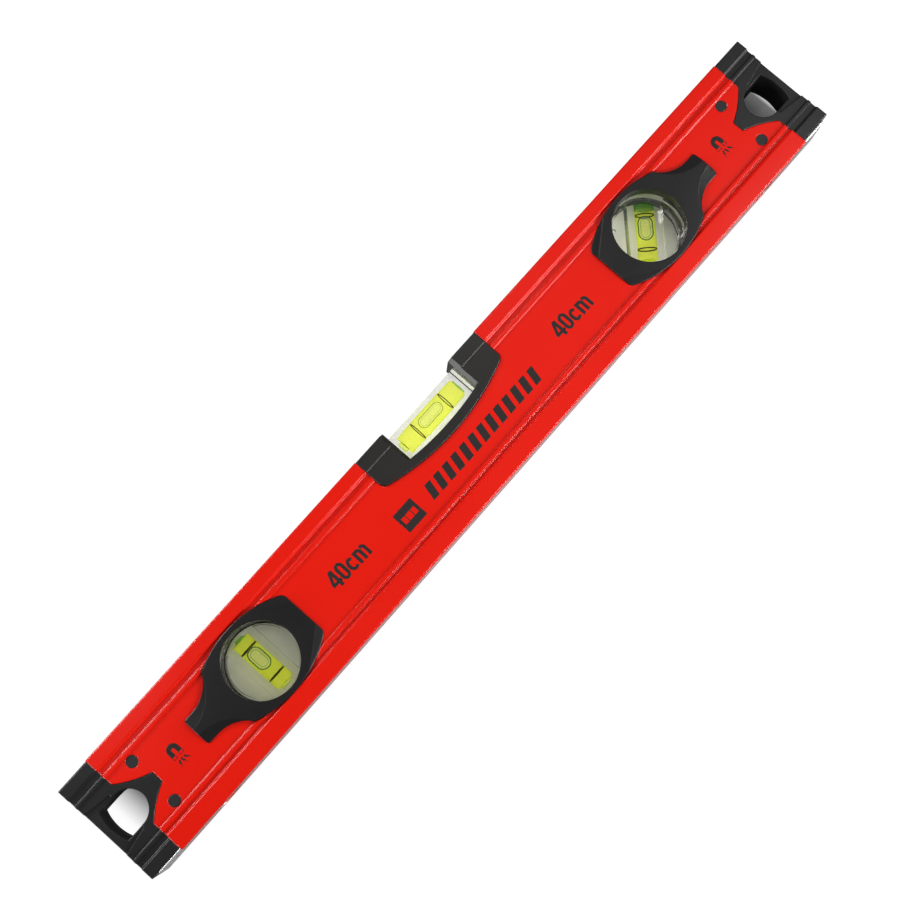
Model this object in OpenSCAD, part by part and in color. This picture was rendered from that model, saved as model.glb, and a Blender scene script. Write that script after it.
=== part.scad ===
/* [Overall size] */
// Length over the two end caps
level_len = 400; // [340:10:800]
// Height of the aluminium section, from the milled base to the top face
body_h = 49; // [48.6:0.1:50]
// Thickness across the raised flange faces
body_t = 21; // [20.4:0.1:22]

/* [Aluminium section] */
// Thickness of the two side webs
web_wall = 1.6; // [1.4:0.1:1.9]
// Thickness of the base wall
base_wall = 2.6; // [2.2:0.1:3]
// Thickness of the top wall
top_wall = 2; // [1.6:0.1:2.4]
// Depth of the web below the flange face
web_step = 1; // [0.8:0.05:1.1]
// Depth of a rib's crest below the flange face
rib_step = 0.35; // [0.25:0.05:0.5]
// Height of the base flange
base_flange = 7.85; // [7:0.05:8]
// Height of the top flange
top_flange = 5.95; // [5.6:0.05:6.1]
// Distance from the middle line of the web to the near side of a rib
rib_offset = 13.5; // [13.4:0.05:13.7]
// Width of a rib's crest
rib_width = 1.6; // [1.4:0.05:1.7]
// Width of each sloped side of a rib
rib_slope = 0.25; // [0.15:0.05:0.25]
// Width of each sloped edge of a flange, on either side of its middle
flange_slope = 0.4; // [0.2:0.05:0.45]
// Chamfer along the four long outer corners
long_chamfer = 0.4; // [0.2:0.05:0.6]
// Height of the middle line that the web, the side tongues and the round vials share
mid_z = 25; // [24.9:0.05:25.1]

/* [End caps] */
// Length of a cap outside the side walls
cap_len = 14.8; // [14.4:0.1:15.2]
// Thickness of the base strip that runs on under each cap
strip_t = 1; // [0.8:0.05:1.2]
// Distance from the end of that strip to the cap's end
strip_setback = 3.5; // [2:0.1:6]
// Height of the section's top above the caps and the insert
top_drop = 0.3; // [0.2:0.05:0.5]
// Length of a side tongue, from the side wall's end to its tip
tongue_len = 13.4; // [12.6:0.1:13.8]
// Half height of a side tongue at its tip
tongue_tip_half = 2.6; // [2.2:0.1:3]
// Half height of a side tongue at its root
tongue_root_half = 10.9; // [10:0.1:11.2]
// Radius of the hollow flanks of a side tongue
tongue_flank_r = 42; // [36:1:60]
// Height of the cap's flange edges above and below its middle line
cap_flange_offset = 18.5; // [18.4:0.05:18.6]
// Distance from the cap's middle line to the near side of its ribs
cap_rib_offset = 13.9; // [13.8:0.05:14]
// Width of a rib's crest on a cap
cap_rib_width = 1.3; // [1.1:0.05:1.4]
// Depth of the scoop round the hanging hole, below the web
scoop_depth = 0.9; // [0.4:0.05:1.2]
// Length of the scoop from the cap's end
scoop_len = 11.5; // [11:0.1:12]
// Half height of the scoop at the cap's end
scoop_end_half = 10.8; // [10:0.1:11.2]
// Half height of the scoop at its inner end
scoop_inner_half = 8.8; // [8.4:0.1:9]
// Radius of the round inner end of the hanging hole
hang_r = 7.6; // [7:0.1:7.8]
// Distance from a cap's end to the centre of that round end
hang_centre = 12.3; // [12:0.1:12.6]
// Distance from a cap's end to the outer side of the hanging hole
hang_edge = 2.6; // [2.4:0.1:3.2]
// Radius of the curved outer side of the hanging hole
hang_side_r = 20; // [16:1:40]
// Length of a cap's plug inside the section
plug_len = 17; // [16:0.1:17.2]
// Radius of a cap pin
pin_r = 2.4; // [2.2:0.05:2.4]
// Distance from a side wall's end to the pins
pin_setback = 11.1; // [10.8:0.1:11.4]
// Distance from the middle line to a pin
pin_offset = 10.8; // [10.6:0.05:10.9]

/* [Magnets] */
// Radius of a base magnet
magnet_r = 6; // [4:0.1:6.2]
// Thickness of a base magnet
magnet_t = 5; // [3:0.5:8]
// Distance from a side wall's end to a magnet
magnet_setback = 24.2; // [24:0.1:26]
// Height of a magnet's face above the milled base
magnet_inset = 0.2; // [0.1:0.05:0.4]

/* [Round vial holders] */
// Distance from the level's end to a round vial's middle
vial_setback = 85; // [85:0.5:100]
// Height of a holder's face above the flange face
holder_proud = 0.3; // [0.2:0.05:0.5]
// Radius of the long top and bottom edges of a holder
holder_r = 46; // [44:0.5:50]
// Half height of a holder
holder_half = 17.35; // [17.25:0.05:17.4]
// Distance from the vial's centre to the holder's inner end
holder_inner = 24.1; // [23:0.1:26]
// Radius of the two corners at that end
holder_corner_r = 2.8; // [2:0.1:4]
// Distance from the vial's centre to the neck's end
neck_reach = 35.6; // [34:0.1:36]
// Half height of the neck
neck_half = 6.3; // [5.8:0.1:6.6]
// Radius of the two corners at the neck's end
neck_corner_r = 1; // [0.4:0.1:1.6]
// Radius of the hollow flare between neck and body
flare_r = 15.7; // [15.2:0.1:16.2]
// Distance from the vial's centre to the centre of the flare
flare_x = 31.3; // [31:0.1:31.6]
// Depth of the sculpted slopes at the holder's outline
slope_depth = 0.8; // [0.4:0.05:0.9]
// Radius of the curved ridge along each side of the neck
ridge_r = 19; // [18.6:0.1:19.1]
// Distance from the vial's centre to the centre of that ridge
ridge_x = 36; // [35.8:0.1:36.4]
// Half height of the flat strip left between the ridges at the neck's end
ridge_half = 1.5; // [1.2:0.1:1.8]
// Half height of the flat face left at the holder's inner end
inner_flat_half = 6.5; // [5.5:0.1:7.5]
// Angle of the straight ridges at the inner end, from the long axis
inner_ridge_angle = 34; // [30:1:38]
// Fall of the slopes beyond those straight ridges
inner_slope_angle = 18; // [10:1:20]
// Radius of the round window
window_r = 15.15; // [14.6:0.05:15.2]
// Depth of the clear disc below the flange face
window_depth = 5; // [4:0.1:5.4]
// Outer radius of the collar that carries the disc
collar_r = 16.6; // [16.5:0.05:16.7]
// Radius of the clear disc
disc_r = 15.6; // [15.5:0.05:15.7]

/* [Round vials] */
// Half width of the bar that carries the vial across a disc
bar_half = 7.3; // [6:0.1:8]
// Thickness of the clear plate in front, beside the bar
plate_t = 3; // [2:0.1:4]
// Width of the rim round a disc's two rear pockets
rim_w = 1.4; // [1:0.1:2]
// Radius of the vial's bore
tube_r = 4.1; // [3.8:0.05:4.3]
// Length of the vial's bore
tube_len = 23.5; // [22:0.1:24]
// Radius of the vial's plug
tube_plug_r = 2.5; // [2:0.1:3]
// Length of the vial's plug
tube_plug_len = 1.2; // [1:0.1:2.8]
// Radius of the drill tip's flat at the closed end of the bore
tip_r = 1.6; // [1:0.1:2.4]
// Length of the drill tip
tip_len = 1; // [0.5:0.1:1.4]
// Distance from a vial's middle to each ring
ring_reach = 7.2; // [6.8:0.1:8]
// Width of a round vial's ring along the vial
ring_w = 0.5; // [0.3:0.05:0.8]
// Radial thickness of a ring
ring_t = 0.4; // [0.3:0.05:0.5]
// Length of a round vial's bubble
tube_bubble_len = 10.4; // [7:0.1:10.6]
// Radius of a round vial's bubble
tube_bubble_r = 3.25; // [2:0.05:3.3]
// Distance of that bubble above the vial's middle
tube_bubble_shift = 1.8; // [0.8:0.1:2]
// Radius of the two locating dimples on a disc
dimple_r = 0.9; // [0.5:0.05:1]
// Depth of a locating dimple
dimple_depth = 1; // [0.5:0.1:1.5]
// Distance from the disc's centre to a dimple
dimple_reach = 13.8; // [13:0.1:14]
// Turn of the second round vial from the upright
slant_angle = 45; // [30:5:60]

/* [Top vial] */
// Half length of the black insert
insert_half = 34.9; // [32:0.1:40]
// Height of the insert's lowest point
insert_low_z = 28.4; // [27.6:0.1:28.8]
// Radius of the insert's lower edge
insert_r = 107; // [100:1:130]
// Radius of the insert's two lower corners
insert_corner_r = 3; // [2:0.1:4]
// Depth of the insert's lower face below its upper one
insert_step = 0.35; // [0.2:0.05:0.5]
// Half width of the notch between the insert's walls
notch_half = 19.3; // [19:0.1:22]
// Chamfer at the notch's upright edges
notch_chamfer = 2; // [1:0.1:3]
// Height of the notch floor at its middle
notch_floor_z = 32.4; // [31.8:0.1:32.8]
// Radius of the notch floor
notch_floor_r = 125; // [110:1:160]
// Thickness of the clear block across the level
block_t = 10; // [9.8:0.1:12]
// Height of the clear block's top
block_top_z = 46; // [45.4:0.1:46.6]
// Height of the top vial's axis
barrel_z = 39.9; // [39.6:0.1:40.2]
// Half length of the top vial's bore
barrel_half = 15.9; // [15.5:0.1:16.5]
// Radius of the top vial's bore at its middle
barrel_r = 4.5; // [4.3:0.05:4.6]
// Radius of the top vial's bore at its ends
barrel_end_r = 4.25; // [4.1:0.05:4.3]
// Length of the blunt cone at the bore's closed right end
barrel_tip_len = 0.9; // [0.5:0.1:1.2]
// Radius of that cone's flat
barrel_tip_r = 3.3; // [3:0.1:4]
// Radius of the plug at the bore's left end
barrel_plug_r = 2.2; // [2:0.1:3]
// Length of that plug
barrel_plug_len = 1.6; // [1:0.1:2.5]
// Distance from the top vial's middle to each ring
barrel_ring_reach = 8.2; // [7.6:0.1:9]
// Width of one of those rings along the vial
barrel_ring_w = 0.35; // [0.3:0.05:0.6]
// Length of the top vial's bubble
barrel_bubble_len = 12.6; // [9:0.1:13]
// Radius of the top vial's bubble
barrel_bubble_r = 2.5; // [1.8:0.1:2.8]
// Height of that bubble above the vial's axis
barrel_bubble_lift = 0.6; // [0:0.1:1]

/* [Clearances] */
// Clearance between a moulded piece and the cut-out it drops into
fit_gap = 0.15; // [0.1:0.05:0.2]
// Clearance between pieces that seat on each other
seat_gap = 0.05; // [0.02:0.01:0.08]

/* [Hidden] */
round_fn = 64;
fine_fn = 160;
$fn = round_fn;
eps = 0.01;
over = 1;
half_len = level_len / 2;
vial_x = half_len - vial_setback;
half_t = body_t / 2;
web_y = half_t - web_step;
inner_y = web_y - web_wall;
wall_x = half_len - cap_len;
strip_x = half_len - strip_setback;
cap_low_z = strip_t + seat_gap;
cap_top_z = body_h - top_drop;
cap_mid_z = (cap_low_z + cap_top_z) / 2;
tip_x = wall_x - tongue_len;
pin_x = wall_x - pin_setback;
magnet_x = wall_x - magnet_setback;
hang_x = half_len - hang_centre;
holder_y = half_t + holder_proud;
plate_y = web_y + seat_gap;
// The sculpted slopes stop this far short of the plate's back.
slope_stop = 0.1;
slope_end = holder_y - plate_y - slope_stop;
ridge_z = ridge_half + ridge_r;
slope_run = ridge_r - norm([ridge_x - flare_x, ridge_z - neck_half]);
slope_reach = slope_end * slope_run / slope_depth;
// The flare's circle dips this far below the neck's edge, so that the two meet at an angle.
flare_dip = 0.05;
// The holder's body runs on this far under the flares, which then cut it.
flare_lap = 6;
lens_drop = holder_r - holder_half;
flare_z = neck_half + flare_r - flare_dip;
// The point where a flare meets the holder's long curved edge.
apart = norm([flare_x, flare_z + lens_drop]);
along = (pow(holder_r, 2) - pow(flare_r, 2) + pow(apart, 2)) / (2 * apart);
aside = sqrt(pow(holder_r, 2) - pow(along, 2));
join_x = (flare_x * along - (flare_z + lens_drop) * aside) / apart;
join_z = ((flare_z + lens_drop) * along + flare_x * aside) / apart - lens_drop;
corner_x = holder_inner - holder_corner_r;
corner_z = sqrt(pow(holder_r - holder_corner_r, 2) - pow(corner_x, 2)) - lens_drop;
disc_y = half_t - window_depth;
pocket_r = disc_r + fit_gap;
floor_centre_z = notch_floor_z + notch_floor_r;
insert_centre_z = insert_low_z + insert_r;

// A box given by its two corners.
module box(low, high) {
    translate(low) cube(high - low);
}

// A rod along Y between two depths.
module rod_y(r, x, z, y0, y1, fn = round_fn) {
    translate([x, y1, z]) rotate([90, 0, 0]) cylinder(r = r, h = y1 - y0, $fn = fn);
}

// A piece drawn at the right end, placed at either end.
module at_end(side) {
    if (side > 0) children();
    else mirror([1, 0, 0]) children();
}

// A piece drawn on the front face, placed on the front or the rear face.
module on_face(front) {
    if (front) children();
    else mirror([0, 1, 0]) children();
}

// One side of a stepped section, as depth from the flange face against height.
function side_steps(low, high, edge_low, edge_high, mid, rib_near, rib_w) = [
    [long_chamfer, low],
    [0, low + long_chamfer],
    [0, edge_low - flange_slope],
    [web_step, edge_low + flange_slope],
    [web_step, mid - rib_near - rib_w - 2 * rib_slope],
    [rib_step, mid - rib_near - rib_w - rib_slope],
    [rib_step, mid - rib_near - rib_slope],
    [web_step, mid - rib_near],
    [web_step, mid + rib_near],
    [rib_step, mid + rib_near + rib_slope],
    [rib_step, mid + rib_near + rib_w + rib_slope],
    [web_step, mid + rib_near + rib_w + 2 * rib_slope],
    [web_step, edge_high - flange_slope],
    [0, edge_high + flange_slope],
    [0, high - long_chamfer],
    [long_chamfer, high]
];

// A bar with that section on both faces, along X.
module stepped_bar(x0, x1, steps) {
    front = [for (p = steps) [p[0] - half_t, p[1]]];
    rear = [for (i = [len(steps) - 1 : -1 : 0]) [half_t - steps[i][0], steps[i][1]]];
    translate([x0, 0, 0]) rotate([90, 0, 90])
        linear_extrude(height = x1 - x0) polygon(concat(front, rear));
}

// The right end's pointed side tongue, with two hollow flanks.
module tongue(grow, y0, y1) {
    tip = [tip_x, tongue_tip_half];
    run = [wall_x, tongue_root_half] - tip;
    span = norm(run);
    away = sqrt(pow(tongue_flank_r, 2) - pow(span / 2, 2));
    flank = tip + run / 2 + [-run[1], run[0]] * away / span;
    difference() {
        box([tip_x - grow, y0, mid_z - tongue_root_half - over],
            [wall_x + over, y1, mid_z + tongue_root_half + over]);
        for (s = [-1, 1])
            rod_y(tongue_flank_r - grow, flank[0], mid_z + s * flank[1],
                  y0 - over, y1 + over, fine_fn);
    }
}

// The body of a round vial's holder, with the vial's centre at x = 0 and the neck towards -X.
module holder_body(grow, lead, y0, y1) {
    body_r = holder_r + grow;
    touch_x = corner_x / (holder_r - holder_corner_r) * body_r;
    intersection() {
        rod_y(body_r, 0, mid_z - lens_drop, y0, y1, fine_fn);
        rod_y(body_r, 0, mid_z + lens_drop, y0, y1, fine_fn);
        union() {
            box([-join_x - lead, y0, mid_z - holder_half - over],
                [touch_x, y1, mid_z + holder_half + over]);
            box([touch_x - over, y0, mid_z - corner_z],
                [holder_inner + grow, y1, mid_z + corner_z]);
            for (s = [-1, 1])
                rod_y(holder_corner_r + grow, corner_x, mid_z + s * corner_z, y0, y1);
        }
    }
}

// The whole outline of a holder: its body, its neck and the two hollow flares between them.
module holder_outline(y0, y1) {
    difference() {
        union() {
            holder_body(0, flare_lap, y0, y1);
            box([-flare_x, y0, mid_z - join_z],
                [over - join_x - flare_lap, y1, mid_z + join_z]);
        }
        for (s = [-1, 1])
            rod_y(flare_r, -flare_x, mid_z + s * flare_z, y0 - over, y1 + over, fine_fn);
    }
    box([neck_corner_r - neck_reach, y0, mid_z - neck_half],
        [over - join_x, y1, mid_z + neck_half]);
    box([-neck_reach, y0, mid_z - neck_half + neck_corner_r],
        [-flare_x, y1, mid_z + neck_half - neck_corner_r]);
    for (s = [-1, 1])
        rod_y(neck_corner_r, neck_corner_r - neck_reach,
              mid_z + s * (neck_half - neck_corner_r), y0, y1);
}

// The outline of the top insert: a long curved lower edge with two rounded corners.
module insert_prism(grow, y0, y1, top) {
    edge_r = insert_r + grow;
    cx = insert_half - insert_corner_r;
    cz = insert_centre_z - sqrt(pow(insert_r - insert_corner_r, 2) - pow(cx, 2));
    touch_x = cx / (insert_r - insert_corner_r) * edge_r;
    intersection() {
        rod_y(edge_r, 0, insert_centre_z, y0, y1, fine_fn);
        union() {
            box([-touch_x, y0, insert_low_z - over], [touch_x, y1, top]);
            box([-insert_half - grow, y0, cz], [insert_half + grow, y1, top]);
            for (s = [-1, 1])
                rod_y(insert_corner_r + grow, s * cx, cz, y0, y1);
        }
    }
}

// The notch in the insert, above its curved floor.
module notch_prism(half_x, grow, y0, y1, top) {
    intersection() {
        rod_y(notch_floor_r + grow, 0, floor_centre_z, y0, y1, fine_fn);
        box([-half_x, y0, notch_floor_z - over], [half_x, y1, top]);
    }
}

// The hanging hole of the right cap: round towards the middle, slightly curved outside.
module hang_hole() {
    y = half_t + over;
    rod_y(hang_r, hang_x, cap_mid_z, -y, y);
    intersection() {
        box([hang_x, -y, cap_mid_z - hang_r], [half_len, y, cap_mid_z + hang_r]);
        rod_y(hang_side_r, half_len - hang_edge - hang_side_r, cap_mid_z, -y, y, fine_fn);
    }
}

// The shallow scoop round the hanging hole, on the front face.
module hang_scoop() {
    flare = (scoop_end_half - scoop_inner_half) / scoop_len;
    end_half = scoop_end_half + flare * over;
    translate([0, -(web_y - scoop_depth), 0]) rotate([90, 0, 0])
        linear_extrude(height = scoop_depth + web_step + over) polygon([
            [half_len - scoop_len, cap_mid_z - scoop_inner_half],
            [half_len + over, cap_mid_z - end_half],
            [half_len + over, cap_mid_z + end_half],
            [half_len - scoop_len, cap_mid_z + scoop_inner_half]
        ]);
}

// The pin holes or pins of the right end.
module pin_rods(r, reach) {
    for (s = [-1, 1])
        rod_y(r, pin_x, mid_z + s * pin_offset, -reach, reach);
}

// Red aluminium box section with its bare milled base.
module profile_body() {
    color("red") difference() {
        stepped_bar(-strip_x, strip_x, side_steps(0, body_h, base_flange, body_h - top_flange,
                                                  mid_z, rib_offset, rib_width));
        box([-half_len, -inner_y, base_wall], [half_len, inner_y, body_h - top_wall]);
        insert_prism(fit_gap, -half_t - over, half_t + over, body_h + over);
        for (side = [-1, 1]) at_end(side) {
            box([wall_x, -half_t - over, strip_t], [half_len, half_t + over, body_h + over]);
            tongue(0, -half_t - over, half_t + over);
            pin_rods(pin_r + seat_gap, half_t + over);
            translate([magnet_x, 0, -over])
                cylinder(r = magnet_r + fit_gap, h = base_wall + 2 * over);
            translate([vial_x, 0, 0]) mirror([1, 0, 0]) {
                for (front = [false, true]) on_face(front)
                    holder_body(fit_gap, over, -half_t - over, -web_y);
                rod_y(collar_r + fit_gap, 0, mid_z, -half_t, half_t, fine_fn);
            }
        }
    }
}

// Moulded cap with a plug inside the section, side tongues and a hanging hole.
module end_cap(side) {
    plug_y = inner_y - fit_gap;
    color([0.16, 0.16, 0.17]) at_end(side) difference() {
        union() {
            stepped_bar(wall_x + seat_gap, half_len,
                        side_steps(cap_low_z, cap_top_z, cap_mid_z - cap_flange_offset,
                                   cap_mid_z + cap_flange_offset, cap_mid_z, cap_rib_offset,
                                   cap_rib_width));
            tongue(-fit_gap, -web_y, web_y);
            box([wall_x - plug_len, -plug_y, base_wall + fit_gap],
                [wall_x + over, plug_y, body_h - top_wall - fit_gap]);
        }
        hang_hole();
        for (front = [false, true]) on_face(front) hang_scoop();
        pin_rods(pin_r + seat_gap, half_t);
    }
}

// The two pins that lock a cap, right through the level.
module cap_pins(side) {
    color([0.2, 0.2, 0.21]) at_end(side) pin_rods(pin_r, web_y);
}

// A round magnet set into the base.
module magnet(side) {
    color("silver") at_end(side) translate([magnet_x, 0, magnet_inset])
        cylinder(r = magnet_r, h = magnet_t);
}

// Black insert that carries the top vial's clear block.
module top_insert() {
    low_y = half_t - insert_step;
    step_z = body_h - top_flange;
    top = cap_top_z + over;
    color([0.2, 0.19, 0.18]) difference() {
        insert_prism(0, -half_t, half_t, cap_top_z);
        for (front = [false, true]) on_face(front)
            box([-insert_half - over, -half_t - over, insert_low_z - over],
                [insert_half + over, -low_y, step_z]);
        notch_prism(notch_half, 0, -half_t - over, half_t + over, top);
        intersection() {
            for (s = [-1, 1], f = [-1, 1])
                translate([s * notch_half, f * half_t, 0]) rotate([0, 0, 45])
                    translate([-notch_chamfer / sqrt(2), -notch_chamfer / sqrt(2), 0])
                        cube([notch_chamfer * sqrt(2), notch_chamfer * sqrt(2), top]);
            notch_prism(notch_half + notch_chamfer, 0, -half_t - over, half_t + over, top);
        }
    }
}

// The barrel-shaped hollow of the top vial, widest at its middle, with a blunt right end.
module barrel(inset) {
    mid_r = barrel_r - inset;
    end_r = barrel_end_r - inset;
    right_len = barrel_half - barrel_tip_len;
    translate([0, 0, barrel_z]) {
        rotate([0, -90, 0]) cylinder(r1 = mid_r, r2 = end_r, h = barrel_half - inset);
        rotate([0, 90, 0]) cylinder(r1 = mid_r, r2 = end_r, h = right_len);
        translate([right_len, 0, 0]) rotate([0, 90, 0])
            cylinder(r1 = end_r, r2 = barrel_tip_r - inset, h = barrel_tip_len - inset);
    }
}

// Clear block with the top vial's bore, open at the left end for its plug.
module top_block() {
    half_x = notch_half - fit_gap;
    color([0.85, 0.9, 0.75, 0.5]) difference() {
        notch_prism(half_x, -seat_gap, -block_t / 2, block_t / 2, block_top_z);
        barrel(0);
        translate([0, 0, barrel_z]) rotate([0, -90, 0])
            cylinder(r = barrel_plug_r, h = half_x + over);
    }
}

// Liquid of the top vial, hollow where the bubble is and grooved for the rings.
module top_liquid() {
    color([0.85, 0.95, 0.2, 0.8]) difference() {
        barrel(seat_gap);
        top_bubble_shape(seat_gap);
        top_ring_shapes(seat_gap);
    }
}

// A bubble with round ends, along X.
module top_bubble_shape(grow) {
    reach = barrel_bubble_len / 2 - barrel_bubble_r;
    translate([0, 0, barrel_z + barrel_bubble_lift]) {
        rotate([0, 90, 0])
            cylinder(r = barrel_bubble_r + grow, h = 2 * reach, center = true);
        for (s = [-1, 1]) translate([s * reach, 0, 0]) sphere(r = barrel_bubble_r + grow);
    }
}

// The air bubble of the top vial.
module top_bubble() {
    color([1, 1, 0.85, 0.5]) top_bubble_shape(0);
}

// The shapes of the two rings round the top vial.
module top_ring_shapes(grow) {
    share = barrel_ring_reach / barrel_half;
    outer_r = barrel_r - (barrel_r - barrel_end_r) * share - 2 * seat_gap;
    for (s = [-1, 1]) translate([s * barrel_ring_reach, 0, barrel_z]) rotate([0, 90, 0])
        ring(outer_r, barrel_ring_w, grow);
}

// One ring round the Z axis; a grown one cuts its groove in the liquid, open to the outside.
module ring(outer_r, width, grow) {
    reach = grow > 0 ? over : 0;
    difference() {
        cylinder(r = outer_r + reach, h = width + 2 * grow, center = true);
        cylinder(r = outer_r - ring_t - grow, h = width + over, center = true);
    }
}

// The two black rings that mark the middle of the top vial.
module top_rings() {
    color("black") top_ring_shapes(0);
}

// The plug that closes the top vial at its left end.
module top_plug() {
    color([0.8, 0.9, 0.4]) translate([-barrel_half, 0, barrel_z]) rotate([0, -90, 0])
        cylinder(r = barrel_plug_r - seat_gap, h = barrel_plug_len);
}

// One half of a round vial's holder, front face, neck towards -X.
module bezel_half() {
    face = -holder_y;
    difference() {
        union() {
            holder_outline(face, -plate_y);
            rod_y(collar_r, 0, mid_z, -web_y - over / 2, -seat_gap, fine_fn);
        }
        rod_y(window_r, 0, mid_z, face - over, over, fine_fn);
        rod_y(pocket_r, 0, mid_z, -disc_y - seat_gap, over, fine_fn);
        // Cone-shaped slopes on both sides of the neck, from the curved ridge down to the flare.
        for (s = [-1, 1])
            translate([-ridge_x, face, mid_z + s * ridge_z]) rotate([-90, 0, 0])
                cylinder(r1 = ridge_r, r2 = ridge_r - slope_reach, h = slope_end, $fn = fine_fn);
        // Flat slopes at the two inner corners.
        translate([holder_inner, face, mid_z]) for (s = [0, 1]) mirror([0, 0, s])
            translate([0, 0, inner_flat_half]) rotate([0, inner_ridge_angle, 0])
                rotate([-inner_slope_angle, 0, 0])
                    box([-holder_half - holder_inner, -holder_half, 0],
                        [holder_inner, 0, holder_half]);
    }
}

// A round vial's holder half, placed at one end and on one face.
module bezel(side, front) {
    color([0.19, 0.19, 0.2]) translate([side * vial_x, 0, 0]) at_end(-side)
        on_face(front) bezel_half();
}

// Places a vial drawn upright round the origin, turned by an angle.
module vial_place(side, angle) {
    translate([side * vial_x, 0, mid_z]) rotate([0, angle, 0]) children();
}

// The bore of a round vial with its drill tip.
module tube_bore(inset) {
    bore_len = tube_len - 2 * inset;
    translate([0, 0, -bore_len / 2]) cylinder(r = tube_r - inset, h = bore_len);
    translate([0, 0, bore_len / 2 - eps])
        cylinder(r1 = tip_r + tip_len - inset, r2 = tip_r - inset, h = tip_len);
}

// Clear disc: a front plate, a rim and a bar across it that holds the vial.
module disc_shape() {
    difference() {
        rod_y(disc_r, 0, 0, -disc_y, disc_y, fine_fn);
        for (s = [0, 1]) mirror([s, 0, 0]) intersection() {
            rod_y(disc_r - rim_w, 0, 0, plate_t - disc_y, disc_y + over, fine_fn);
            box([bar_half, plate_t - disc_y, -disc_r], [disc_r, disc_y + over, disc_r]);
        }
        tube_bore(0);
        translate([0, 0, -disc_r - over]) cylinder(r = tube_plug_r, h = disc_r);
        for (s = [-1, 1])
            rod_y(dimple_r, s * dimple_reach, 0, -disc_y - over, dimple_depth - disc_y);
    }
}

// The clear disc of a round vial at one end.
module vial_disc(side, angle) {
    color([0.82, 0.85, 0.75, 0.5]) vial_place(side, angle) disc_shape();
}

// A round vial's bubble, upright, with round ends.
module tube_bubble_shape(grow) {
    reach = tube_bubble_len / 2 - tube_bubble_r;
    translate([0, 0, tube_bubble_shift]) {
        cylinder(r = tube_bubble_r + grow, h = 2 * reach, center = true);
        for (s = [-1, 1]) translate([0, 0, s * reach]) sphere(r = tube_bubble_r + grow);
    }
}

// The shapes of a round vial's two rings.
module tube_ring_shapes(grow) {
    for (s = [-1, 1]) translate([0, 0, s * ring_reach])
        ring(tube_r - 2 * seat_gap, ring_w, grow);
}

// The liquid of a round vial, hollow where the bubble is and grooved for the rings.
module vial_liquid(side, angle) {
    color([0.85, 0.95, 0.2, 0.8]) vial_place(side, angle) difference() {
        tube_bore(seat_gap);
        tube_bubble_shape(seat_gap);
        tube_ring_shapes(seat_gap);
    }
}

// The air bubble of a round vial.
module vial_bubble(side, angle) {
    color([1, 1, 0.85, 0.5]) vial_place(side, angle) tube_bubble_shape(0);
}

// The two black rings that mark the middle of a round vial.
module vial_rings(side, angle) {
    color("black") vial_place(side, angle) tube_ring_shapes(0);
}

// The plug that closes a round vial at its lower end.
module vial_plug(side, angle) {
    color([0.85, 0.9, 0.4]) vial_place(side, angle)
        translate([0, 0, -tube_len / 2 - tube_plug_len])
            cylinder(r = tube_plug_r - seat_gap, h = tube_plug_len);
}

profile_body();
end_cap(-1);  // end_cap_left
end_cap(1);  // end_cap_right
cap_pins(-1);  // cap_pins_left
cap_pins(1);  // cap_pins_right
magnet(-1);  // magnet_left
magnet(1);  // magnet_right
top_insert();
top_block();
top_liquid();
top_bubble();
top_rings();
top_plug();
bezel(-1, true);  // plumb_bezel_front
bezel(-1, false);  // plumb_bezel_rear
vial_disc(-1, 0);  // plumb_disc
vial_liquid(-1, 0);  // plumb_liquid
vial_bubble(-1, 0);  // plumb_bubble
vial_rings(-1, 0);  // plumb_rings
vial_plug(-1, 0);  // plumb_plug
bezel(1, true);  // slant_bezel_front
bezel(1, false);  // slant_bezel_rear
vial_disc(1, slant_angle);  // slant_disc
vial_liquid(1, slant_angle);  // slant_liquid
vial_bubble(1, slant_angle);  // slant_bubble
vial_rings(1, slant_angle);  // slant_rings
vial_plug(1, slant_angle);  // slant_plug
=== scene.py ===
# %% [markdown]
# # A magnetic spirit level
# A spirit level of this kind is a box section of coated aluminium with a plastic cap at each
# end. It carries one barrel-shaped vial in its top edge and a round vial near each end, one
# upright and one at 45 degrees. The solids come from the imported frame. This lesson gives them
# their finishes, fills the vials, prints the marks, and sets the light and the camera.
#
# The box of the solids is kept first, and the size of the finished model is printed at the end.
# %% Load the frame
import math

import bmesh
import bpy
from mathutils import Matrix, Vector


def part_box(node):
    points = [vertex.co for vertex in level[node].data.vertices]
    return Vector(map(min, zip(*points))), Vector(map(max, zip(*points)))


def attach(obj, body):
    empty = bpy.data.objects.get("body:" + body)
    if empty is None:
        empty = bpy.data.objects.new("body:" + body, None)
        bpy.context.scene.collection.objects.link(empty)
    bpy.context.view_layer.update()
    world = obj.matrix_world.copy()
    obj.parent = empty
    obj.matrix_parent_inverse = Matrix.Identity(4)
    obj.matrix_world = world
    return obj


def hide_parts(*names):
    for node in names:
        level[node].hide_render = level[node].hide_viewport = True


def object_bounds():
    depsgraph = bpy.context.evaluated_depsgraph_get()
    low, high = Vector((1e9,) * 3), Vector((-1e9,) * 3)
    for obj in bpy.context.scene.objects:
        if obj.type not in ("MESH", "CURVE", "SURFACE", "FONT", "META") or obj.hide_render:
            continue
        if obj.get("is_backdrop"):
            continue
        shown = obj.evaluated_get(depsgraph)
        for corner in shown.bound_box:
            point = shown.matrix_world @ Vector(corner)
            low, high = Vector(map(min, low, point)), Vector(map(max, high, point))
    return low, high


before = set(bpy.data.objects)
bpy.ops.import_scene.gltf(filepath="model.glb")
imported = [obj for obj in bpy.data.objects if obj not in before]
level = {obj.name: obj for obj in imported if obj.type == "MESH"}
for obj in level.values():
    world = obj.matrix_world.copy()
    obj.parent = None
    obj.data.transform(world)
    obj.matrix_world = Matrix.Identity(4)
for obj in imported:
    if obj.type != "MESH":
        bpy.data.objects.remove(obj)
cad_low, cad_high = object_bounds()
MM = 0.001
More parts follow.
